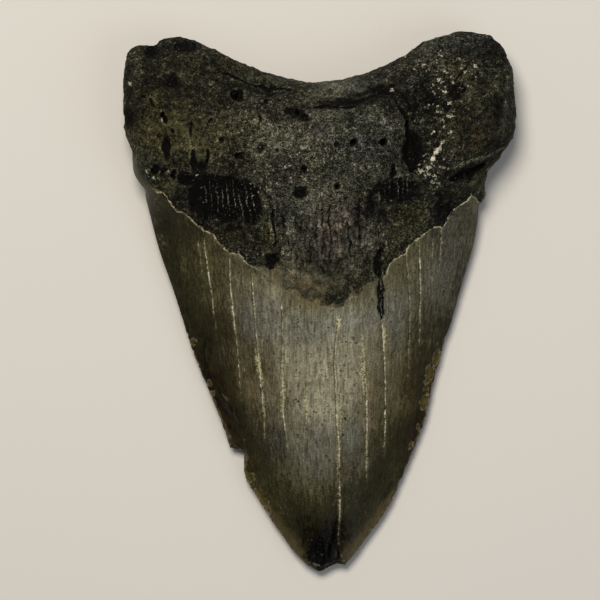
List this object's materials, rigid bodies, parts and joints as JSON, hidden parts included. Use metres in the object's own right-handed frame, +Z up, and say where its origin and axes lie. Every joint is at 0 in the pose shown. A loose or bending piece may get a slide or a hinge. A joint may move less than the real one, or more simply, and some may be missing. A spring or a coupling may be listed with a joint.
{
  "type": "fossil megalodon tooth",
  "caption": "Large triangular fossil shark tooth with a rounded inner face, a V-shaped enamel line and a two-lobed root, lying flat.",
  "frame": {"origin": "middle of the bounding box, on the surface that the tooth lies on", "axes": "+Z up, out of the rounded inner face; +Y from the crown's tip to the root; +X to the right with the tip towards the viewer"},
  "size_m": [0.098, 0.135, 0.027],
  "materials": {
    "tooth": "mineralised tooth: satin grey-olive enamel, matt dark root"
  },
  "bodies": {
    "root": {"tooth": "tooth"}
  },
  "joints": []
}
